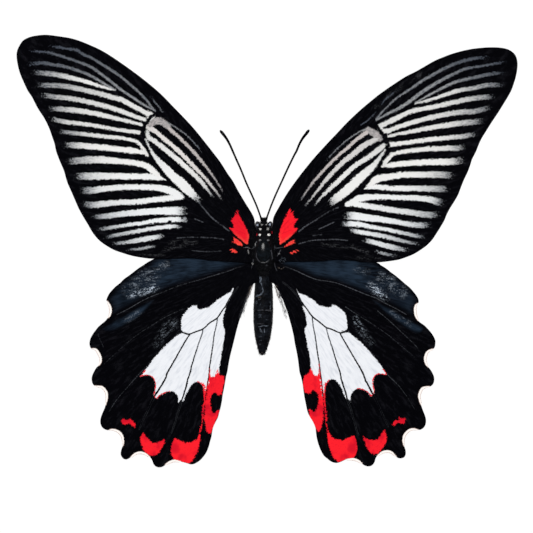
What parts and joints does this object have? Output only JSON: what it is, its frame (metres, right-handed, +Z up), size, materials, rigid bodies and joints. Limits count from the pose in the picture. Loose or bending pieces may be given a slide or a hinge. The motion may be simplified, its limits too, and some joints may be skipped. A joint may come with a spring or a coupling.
{
  "type": "spread butterfly specimen",
  "caption": "Dried swallowtail butterfly lying flat with its wings spread, black with pale forewing rays, white hindwing patches and red crescents.",
  "frame": {"origin": "middle of the flat patch under the thorax, on the surface that the specimen rests on", "axes": "+X to the specimen's right as seen from above with the head up, +Y towards the head, +Z up out of the upper side of the wings"},
  "size_m": [0.14, 0.1211, 0.0083],
  "materials": {
    "wing": "dry velvet-black wing membrane with white, grey and red scale markings",
    "body": "black, covered with short soft hair",
    "eye": "glossy black, finely faceted",
    "limb": "satin black horn-like skin"
  },
  "bodies": {
    "root": {"thorax": "body", "head": "body", "abdomen": "body", "palp_left": "body", "palp_right": "body", "eye_left": "eye", "eye_right": "eye", "antenna_left": "limb", "antenna_right": "limb", "proboscis": "limb", "leg_front_left": "limb", "leg_front_right": "limb", "leg_middle_left": "limb", "leg_middle_right": "limb", "leg_hind_left": "limb", "leg_hind_right": "limb", "forewing_left": "wing", "forewing_right": "wing", "hindwing_left": "wing", "hindwing_right": "wing"}
  },
  "joints": []
}
